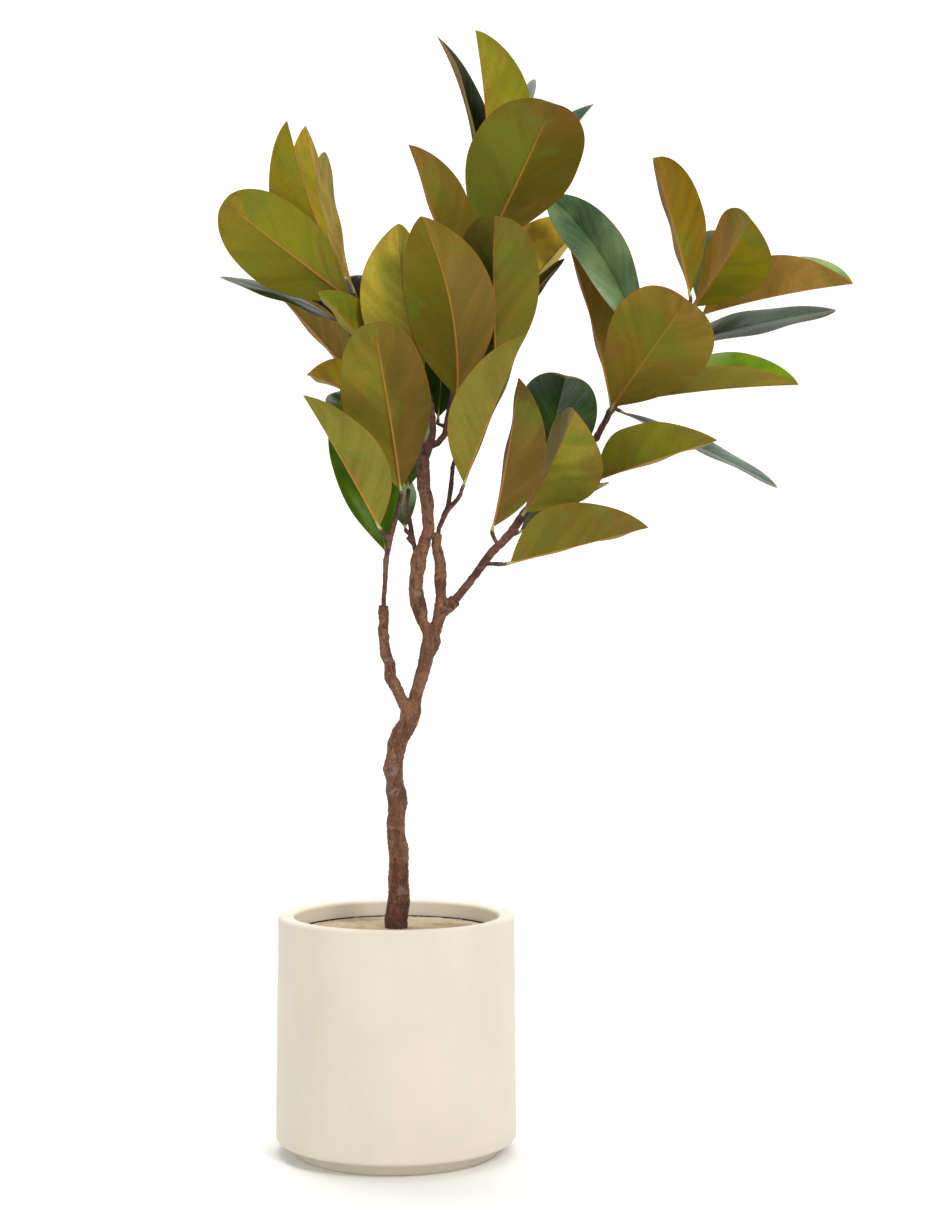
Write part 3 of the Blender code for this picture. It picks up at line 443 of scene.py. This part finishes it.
def leaf_mesh(leaf, number):
    """Closed blade with a ribbed underside, and its stalk, with the attributes that the looks use."""
    name, base, heading, rise, roll, long, wide, fold, bow, sway, belly, tip = leaf[:12]
    along, across, above = leaf_axes(heading, rise, roll)
    base = np.array((base[0], base[1], RIM_Z + base[2]))
    length = LEAF_LENGTH * long
    shares = row_shares()
    columns = np.array([-c for c in HALF_COLUMNS[::-1]] + [0.0] + list(HALF_COLUMNS))
    hump = (4.0 * shares * (1.0 - shares))[:, None]
    middle = base + shares[:, None] * length * along + hump * length * (bow * above + sway * across)
    half = 0.5 * LEAF_WIDTH * wide * half_width_shares(shares, belly, tip)
    half = np.maximum(half, BASE_HALF_WIDTH + (TIP_HALF_WIDTH - BASE_HALF_WIDTH) * shares)
    reach = half[:, None] * columns[None, :]
    lean = math.radians(fold)
    side = np.sign(columns)
    normal = above[None, :] * np.where(side == 0, 1.0, math.cos(lean))[:, None]
    normal = normal - across[None, :] * (side * math.sin(lean))[:, None]
    spread = reach[..., None] * math.cos(lean) * across + np.abs(reach)[..., None] * math.sin(lean) * above
    surface = middle[:, None, :] + spread
    size = np.abs(columns)
    camber = BLADE_CAMBER * half[:, None] * (4.0 * size * (1.0 - size))[None, :]
    phase = 1.7 * number
    wave = np.sin(2.0 * math.pi * MARGIN_WAVES * shares[:, None] + phase + 1.3 * side[None, :])
    ends = np.sin(math.pi * shares)[:, None]
    camber = camber + MARGIN_WAVE * ends * wave * (size ** 1.6)[None, :]
    surface = surface + camber[..., None] * normal[None, :, :]
    thick = LEAF_THICKNESS + (LEAF_MARGIN - LEAF_THICKNESS) * size
    rib = np.exp(-(reach / RIB_REACH) ** 2) * RIB_HEIGHT * np.clip(1.02 - shares, 0.0, 1.0)[:, None] ** 0.7
    groove = 0.35 * rib
    top = surface + (0.5 * thick[None, :] - groove)[..., None] * normal[None, :, :]
    low = surface - (0.5 * thick[None, :] + rib)[..., None] * normal[None, :, :]
    count = len(columns)
    points = np.concatenate([top, low[:, ::-1, :]], axis=1).reshape(-1, 3)
    flat_reach = np.concatenate([reach, reach[:, ::-1]], axis=1)
    flat_half = np.repeat(half[:, None], 2 * count, axis=1)
    data = {
        "along": np.repeat(shares[:, None], 2 * count, axis=1).ravel(),
        "across": np.tile(np.concatenate([columns, columns[::-1]]), ROWS),
        "rib": np.abs(flat_reach).ravel() * 1000.0,
        "edge": (flat_half - np.abs(flat_reach)).ravel() * 1000.0,
    }
    faces, slots = blade_faces(count)
    start = along + 4.0 * bow * above + 4.0 * sway * across
    stalk_points, stalk_faces = stalk(base, start, middle, above, len(points))
    faces += stalk_faces
    slots += [2] * len(stalk_faces)
    marks = np.repeat(np.linspace(-1.0, 0.0, len(STALK_TAPER)), STALK_SIDES)
    points = np.concatenate([points, stalk_points])
    mesh = mesh_from("leaf_" + name, points, faces, slots)
    for label, values in data.items():
        extra = marks if label == "along" else np.zeros(len(marks)) + (9.0 if label != "across" else 0.0)
        store = mesh.attributes.new(label, "FLOAT", "POINT")
        store.data.foreach_set("value", np.concatenate([values, extra]).astype(np.float32))
    return mesh


def stalk(base, start, middle, above, first):
    """Points and faces of the stalk, which starts in the twig and runs under the blade's base."""
    start = start / np.linalg.norm(start)
    path = [base - start * setback for setback in STALK_SETBACKS]
    for row in (0, 2, 4, 6):
        path.append(middle[row] - above * (0.4 * LEAF_THICKNESS))
    return tube(path, [PETIOLE_RADIUS * share for share in STALK_TAPER], STALK_SIDES, first)


def blade_faces(count):
    """Faces of a closed blade whose rings hold the upper row and then the lower row reversed."""
    ring = 2 * count
    faces = []
    slots = []
    for row in range(ROWS - 1):
        low = row * ring
        for index in range(ring):
            after = (index + 1) % ring
            faces.append((low + index, low + ring + index, low + ring + after, low + after))
            slots.append(0 if index < count - 1 else 1)
    for low, outward in ((0, True), ((ROWS - 1) * ring, False)):
        for index in range(count - 1):
            mirror = ring - 1 - index
            face = (low + index, low + index + 1, low + mirror - 1, low + mirror)
            faces.append(face if outward else face[::-1])
            slots.append(1)
    return faces, slots


def tube(path, sizes, sides, first):
    """Points and faces of a closed round tube along a path."""
    path = [np.array(point) for point in path]
    points = []
    for index, centre in enumerate(path):
        before = path[max(index - 1, 0)]
        after = path[min(index + 1, len(path) - 1)]
        heading = after - before
        heading = heading / np.linalg.norm(heading)
        guide = np.array((0.0, 0.0, 1.0)) if abs(heading[2]) < 0.8 else np.array((1.0, 0.0, 0.0))
        right = np.cross(heading, guide)
        right = right / np.linalg.norm(right)
        front = np.cross(right, heading)
        for step in range(sides):
            angle = 2.0 * math.pi * step / sides
            points.append(centre + sizes[index] * (math.cos(angle) * right + math.sin(angle) * front))
    faces = []
    for row in range(len(path) - 1):
        low = first + row * sides
        for step in range(sides):
            after = (step + 1) % sides
            faces.append((low + step, low + sides + step, low + sides + after, low + after))
    faces.append(tuple(range(first, first + sides)))
    last = first + (len(path) - 1) * sides
    faces.append(tuple(range(last + sides - 1, last - 1, -1)))
    return np.array(points), faces


def make_leaves():
    stalk = petiole_material()
    for number, leaf in enumerate(LEAVES):
        name = leaf[0]
        left, right, tip, kind = leaf[12:]
        across = leaf_axes(*leaf[2:5])[1]
        if across[0] < 0:
            left, right = right, left
        shift = 0.37 * number
        upper = upper_side("upper_" + name, kind, shift)
        under = underside("under_" + name, left, right, tip, shift)
        mesh = leaf_mesh(leaf, number)
        add_piece("blade_" + name, mesh, [upper, under, stalk], "leaf_" + name)


# ---------------------------------------------------------------- wood
def bark_material():
    """Rough brown bark with grey lichen, orange flecks and dark cracks, darker near the fill."""
    nodes = Nodes("bark_skin", 0.8, 0.3)
    place = nodes.place(stretch=(1.0, 1.0, 0.55))
    broad = nodes.noise(place, 38.0, 4.0, 0.6, 0.6)
    middle = nodes.noise(place, 130.0, 4.0, 0.65, 0.8)
    fine = nodes.noise(place, 520.0, 3.0, 0.6)
    colour = nodes.blend(nodes.band(broad, 0.36, 0.62), linear((92, 58, 42)), linear((132, 92, 68)))
    colour = nodes.blend(nodes.band(middle, 0.54, 0.68, 0.0, 0.75), colour, linear((160, 108, 66)))
    colour = nodes.blend(nodes.band(middle, 0.46, 0.34, 0.0, 0.75), colour, linear((66, 40, 32)))
    lichen = nodes.noise(nodes.place(shift=(3.1, 1.7, 0.4)), 62.0, 3.0, 0.7, 0.5)
    colour = nodes.blend(nodes.band(lichen, 0.58, 0.70, 0.0, 0.6), colour, linear((146, 126, 114)))
    colour = nodes.blend(nodes.band(fine, 0.38, 0.66, 0.0, 0.35), colour, linear((58, 36, 28)))
    rings = nodes.noise(nodes.place(stretch=(0.25, 0.25, 3.0)), 60.0, 3.0, 0.6, 0.3)
    colour = nodes.blend(nodes.band(rings, 0.56, 0.68, 0.0, 0.4), colour, linear((74, 46, 36)))
    colour = nodes.blend(nodes.band(nodes.up(), 0.345, 0.285, 0.0, 0.72), colour, linear((52, 34, 28)))
    height = nodes.math("ADD", nodes.math("MULTIPLY", middle, 1.0), nodes.math("MULTIPLY", fine, 0.35))
    height = nodes.math("ADD", height, nodes.math("MULTIPLY", rings, 0.6))
    return nodes.finish(colour, nodes.band(fine, 0.3, 0.7, 0.62, 0.9), height, 0.0022, 0.8)


def twig_material():
    """Purple-brown twigs with pale pores and fine leaf-scar rings."""
    nodes = Nodes("twig_skin", 0.7, 0.3)
    place = nodes.place()
    broad = nodes.noise(place, 60.0, 3.0, 0.6, 0.5)
    fine = nodes.noise(place, 420.0, 3.0, 0.6)
    colour = nodes.blend(nodes.band(broad, 0.35, 0.65), linear((70, 42, 40)), linear((114, 76, 64)))
    colour = nodes.blend(nodes.band(fine, 0.56, 0.72, 0.0, 0.5), colour, linear((146, 108, 84)))
    colour = nodes.blend(nodes.band(fine, 0.44, 0.30, 0.0, 0.6), colour, linear((44, 26, 26)))
    rings = nodes.noise(nodes.place(stretch=(0.3, 0.3, 2.4)), 110.0, 2.0, 0.5, 0.2)
    colour = nodes.blend(nodes.band(rings, 0.54, 0.64, 0.0, 0.4), colour, linear((52, 30, 30)))
    height = nodes.math("ADD", nodes.math("MULTIPLY", fine, 0.5), rings)
    return nodes.finish(colour, nodes.band(fine, 0.3, 0.7, 0.55, 0.8), height, 0.0012, 0.7)


def add_lumps(piece, name, size, strength):
    texture = bpy.data.textures.new(name, "CLOUDS")
    texture.noise_scale = size
    change = piece.modifiers.new(name, "DISPLACE")
    change.texture = texture
    change.texture_coords = "LOCAL"
    change.strength = strength
    change.mid_level = 0.5


def apply_modifiers(piece):
    graph = bpy.context.evaluated_depsgraph_get()
    mesh = bpy.data.meshes.new_from_object(piece.evaluated_get(graph))
    piece.modifiers.clear()
    piece.data = mesh
    mesh.polygons.foreach_set("use_smooth", [True] * len(mesh.polygons))


def grow_wood(name, node, material, voxel, lumps):
    """Round and roughen a CAD stem: remesh it finely, smooth its facets, then add bark lumps."""
    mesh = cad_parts[node].data.copy()
    mesh.materials.clear()
    piece = add_piece(name, mesh, [material], node)
    skin = piece.modifiers.new("skin", "REMESH")
    skin.mode = "VOXEL"
    skin.voxel_size = voxel
    soft = piece.modifiers.new("soft", "SMOOTH")
    soft.factor = 0.5
    soft.iterations = 6
    for number, (size, strength) in enumerate(lumps):
        add_lumps(piece, f"{name}_lumps_{number}", size, strength)
    apply_modifiers(piece)
    if not piece.data.materials:
        piece.data.materials.append(material)
    return piece


def make_wood():
    bark = bark_material()
    twig = twig_material()
    grow_wood("trunk_bark", "trunk", bark, 0.0011, TRUNK_LUMPS)
    for node in ("left_spray_stem", "fork_stem", "upper_stem", "back_twig"):
        grow_wood(node + "_bark", node, twig, 0.0008, TWIG_LUMPS)
    grow_wood("right_branch_bark", "right_branch", twig, 0.0009, BRANCH_LUMPS)


# ---------------------------------------------------------------- planter, liner and fill
def arc(centre, radius, start, end, steps):
    """Points of an arc in the (radius, height) plane, angles in degrees."""
    angles = [math.radians(start + (end - start) * step / steps) for step in range(steps + 1)]
    return [(centre[0] + radius * math.cos(a), centre[1] + radius * math.sin(a)) for a in angles]


def turned(name, profile, sides):
    """Closed mesh of a profile turned about Z, with a single point at each end of it."""
    points = [(0.0, 0.0, profile[0][1])]
    for radius, up in profile[1:-1]:
        for step in range(sides):
            angle = 2.0 * math.pi * step / sides
            points.append((radius * math.cos(angle), radius * math.sin(angle), up))
    points.append((0.0, 0.0, profile[-1][1]))
    last = len(points) - 1
    rings = len(profile) - 2
    faces = []
    for step in range(sides):
        after = (step + 1) % sides
        faces.append((0, 1 + step, 1 + after))
        for row in range(rings - 1):
            low = 1 + row * sides
            faces.append((low + after, low + step, low + sides + step, low + sides + after))
        low = 1 + (rings - 1) * sides
        faces.append((low + after, low + step, last))
    return mesh_from(name, points, faces)


def planter_material():
    """Matt cream glaze with soft warm and grey clouds and fine speckle."""
    nodes = Nodes("cream_glaze", 0.55, 0.4)
    place = nodes.place()
    cloud = nodes.noise(place, 7.0, 4.0, 0.55, 0.6)
    colour = nodes.blend(nodes.band(cloud, 0.36, 0.64), linear((216, 209, 192)), linear((222, 213, 195)))
    streak = nodes.noise(nodes.place(stretch=(1.0, 1.0, 0.25)), 16.0, 3.0)
    colour = nodes.blend(nodes.band(streak, 0.45, 0.7, 0.0, 0.2), colour, linear((208, 199, 180)))
    speck = nodes.cells(place, 330.0)
    sparse = nodes.noise(place, 60.0, 2.0)
    specks = nodes.math("MULTIPLY", nodes.band(speck, 0.20, 0.10), nodes.band(sparse, 0.52, 0.66))
    colour = nodes.blend(nodes.math("MULTIPLY", specks, 0.22), colour, linear((186, 170, 142)))
    fine = nodes.noise(place, 480.0, 4.0, 0.6)
    height = nodes.math("ADD", fine, nodes.math("MULTIPLY", cloud, 2.0))
    return nodes.finish(colour, nodes.band(fine, 0.35, 0.65, 0.50, 0.64), height, 0.0004, 0.35)


def make_planter():
    (low_x, _, _), (high_x, _, high_z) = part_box("planter")
    low_radius = 0.5 * (high_x - low_x)
    top_radius = low_radius - POT_FLARE
    bore = top_radius - POT_WALL
    foot = low_radius - FOOT_SET_BACK
    profile = [(0.0, POT_FLOOR), (bore - 0.004, POT_FLOOR), (bore, POT_FLOOR + 0.004)]
    profile += [(bore, up) for up in (0.10, 0.20, 0.28)]
    profile += arc((bore + POT_EDGE, high_z - POT_EDGE), POT_EDGE, 180, 90, 8)
    profile += arc((top_radius - POT_EDGE, high_z - POT_EDGE), POT_EDGE, 90, 0, 8)
    profile += [(top_radius + POT_FLARE * share, high_z - 0.27 * share) for share in (0.25, 0.5, 0.75)]
    profile += arc((low_radius - POT_EDGE, FOOT_HEIGHT + POT_EDGE), POT_EDGE, 0, -90, 8)
    profile += [(foot + 0.001, FOOT_HEIGHT), (foot, FOOT_HEIGHT - 0.001)]
    profile += arc((foot - FOOT_EDGE, FOOT_EDGE), FOOT_EDGE, 0, -90, 5)
    profile += [(foot - 0.02, 0.0), (0.0, 0.0)]
    mesh = turned("planter_glazed", profile, 160)
    add_piece("planter_glazed", mesh, [planter_material()], "planter")


def liner_material():
    """Scuffed black plastic."""
    nodes = Nodes("liner_plastic", 0.5, 0.4)
    fine = nodes.noise(nodes.place(), 240.0, 4.0)
    colour = nodes.blend(nodes.band(fine, 0.45, 0.7), linear((34, 27, 22)), linear((56, 47, 38)))
    return nodes.finish(colour, nodes.band(fine, 0.3, 0.7, 0.4, 0.7), fine, 0.0003, 0.3)


def fill_material():
    """Pressed sandy top with brown grains and damp patches."""
    nodes = Nodes("sandy_fill", 0.9, 0.2)
    place = nodes.place()
    patch = nodes.noise(place, 9.0, 3.0, 0.6, 0.4)
    grain = nodes.noise(place, 620.0, 3.0, 0.7)
    colour = nodes.blend(nodes.band(patch, 0.38, 0.62), linear((188, 169, 139)), linear((146, 128, 100)))
    colour = nodes.blend(nodes.band(grain, 0.50, 0.66, 0.0, 0.6), colour, linear((120, 96, 70)))
    colour = nodes.blend(nodes.band(grain, 0.42, 0.30, 0.0, 0.5), colour, linear((216, 196, 166)))
    pebble = nodes.cells(place, 210.0)
    colour = nodes.blend(nodes.band(pebble, 0.16, 0.10, 0.0, 0.5), colour, linear((92, 70, 48)))
    height = nodes.math("ADD", grain, nodes.math("MULTIPLY", pebble, 0.8))
    return nodes.finish(colour, None, height, 0.0012, 0.8)


def make_fill():
    """Fill with an uneven grainy top: a fine turned disc whose top is roughened."""
    (low_x, _, low_z), (high_x, _, high_z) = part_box("fill")
    radius = 0.5 * (high_x - low_x)
    tops = [radius * ring / (FILL_RINGS + 1.0) for ring in range(1, FILL_RINGS + 1)]
    profile = [(0.0, high_z)]
    profile += [(r, high_z - FILL_CROWN * (r / radius) ** 2) for r in tops]
    profile += [(radius, high_z - FILL_CROWN - FILL_EDGE_DROP), (radius - 0.001, high_z - 0.02)]
    profile += [(radius - 0.006, low_z), (0.0, low_z)]
    mesh = turned("fill_top", profile, FILL_SIDES)
    draw = np.random.default_rng(7)
    count = 1 + len(tops) * FILL_SIDES
    bumps = draw.normal(0.0, FILL_GRAIN, count)
    for index, bump in enumerate(bumps):
        mesh.vertices[index].co.z += float(bump)
    add_piece("fill_top", mesh, [fill_material()], "fill")


# ---------------------------------------------------------------- stage
def floor_material():
    """Matt pale floor and backdrop, clear when seen from behind."""
    nodes = Nodes("pale_floor", 0.9, 0.1)
    material = nodes.finish(linear((246, 246, 244)))
    tree = nodes.tree
    geometry = tree.nodes.new("ShaderNodeNewGeometry")
    clear = tree.nodes.new("ShaderNodeBsdfTransparent")
    either = tree.nodes.new("ShaderNodeMixShader")
    tree.links.new(geometry.outputs["Backfacing"], either.inputs[0])
    tree.links.new(nodes.shader.outputs["BSDF"], either.inputs[1])
    tree.links.new(clear.outputs["BSDF"], either.inputs[2])
    tree.links.new(either.outputs["Shader"], tree.nodes["Material Output"].inputs["Surface"])
    return material


def make_stage():
    """Pale floor that sweeps up into a backdrop."""
    sweep = [(-6.0, 0.0), (2.2, 0.0)]
    for step in range(1, 17):
        angle = math.radians(90.0 * step / 16)
        sweep.append((2.2 + 1.6 * math.sin(angle), 1.6 - 1.6 * math.cos(angle)))
    sweep.append((3.8, 7.0))
    points = [(side, y, z) for y, z in sweep for side in (-9.0, 9.0)]
    faces = [(2 * i, 2 * i + 1, 2 * i + 3, 2 * i + 2) for i in range(len(sweep) - 1)]
    mesh = mesh_from("floor", points, faces)
    floor = bpy.data.objects.new("floor", mesh)
    bpy.context.scene.collection.objects.link(floor)
    mesh.materials.append(floor_material())


def add_light(name, place, target, size, power, colour=(1.0, 1.0, 1.0)):
    lamp = bpy.data.lights.new(name, "AREA")
    lamp.shape = "RECTANGLE"
    lamp.size, lamp.size_y = size
    lamp.energy = power
    lamp.color = colour
    item = bpy.data.objects.new(name, lamp)
    bpy.context.scene.collection.objects.link(item)
    item.location = place
    item.rotation_euler = (Vector(target) - Vector(place)).to_track_quat("-Z", "Y").to_euler()


def make_lights():
    world = bpy.data.worlds.new("studio")
    world.use_nodes = True
    world.node_tree.nodes["Background"].inputs["Color"].default_value = (1.0, 1.0, 1.0, 1.0)
    world.node_tree.nodes["Background"].inputs["Strength"].default_value = 0.62
    bpy.context.scene.world = world
    centre = (0.10, 0.0, 0.80)
    add_light("key_softbox", (1.7, -2.5, 2.7), centre, (1.1, 1.1), 62.0, (1.0, 0.985, 0.96))
    add_light("fill_softbox", (-2.6, -2.4, 1.2), centre, (1.8, 2.2), 14.0)
    add_light("top_softbox", (-0.3, 0.9, 3.2), centre, (1.6, 1.2), 26.0, (0.96, 0.98, 1.0))
    add_light("backdrop_light", (0.0, 1.2, 4.6), (0.0, 3.6, 1.6), (5.0, 1.0), 110.0)


def make_camera():
    lens = bpy.data.cameras.new("camera")
    lens.lens = CAMERA_LENS_MM
    lens.sensor_width = 36.0
    lens.sensor_fit = "AUTO"
    camera = bpy.data.objects.new("camera", lens)
    bpy.context.scene.collection.objects.link(camera)
    camera.location = CAMERA_PLACE
    camera.rotation_euler = (math.radians(90.0), 0.0, 0.0)
    bpy.context.scene.camera = camera


bpy.context.scene.view_settings.view_transform = "Standard"
make_camera()
make_lights()
make_stage()
make_planter()
make_fill()
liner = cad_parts["liner"]
liner.data.materials.clear()
liner.data.materials.append(liner_material())
make_wood()
make_leaves()
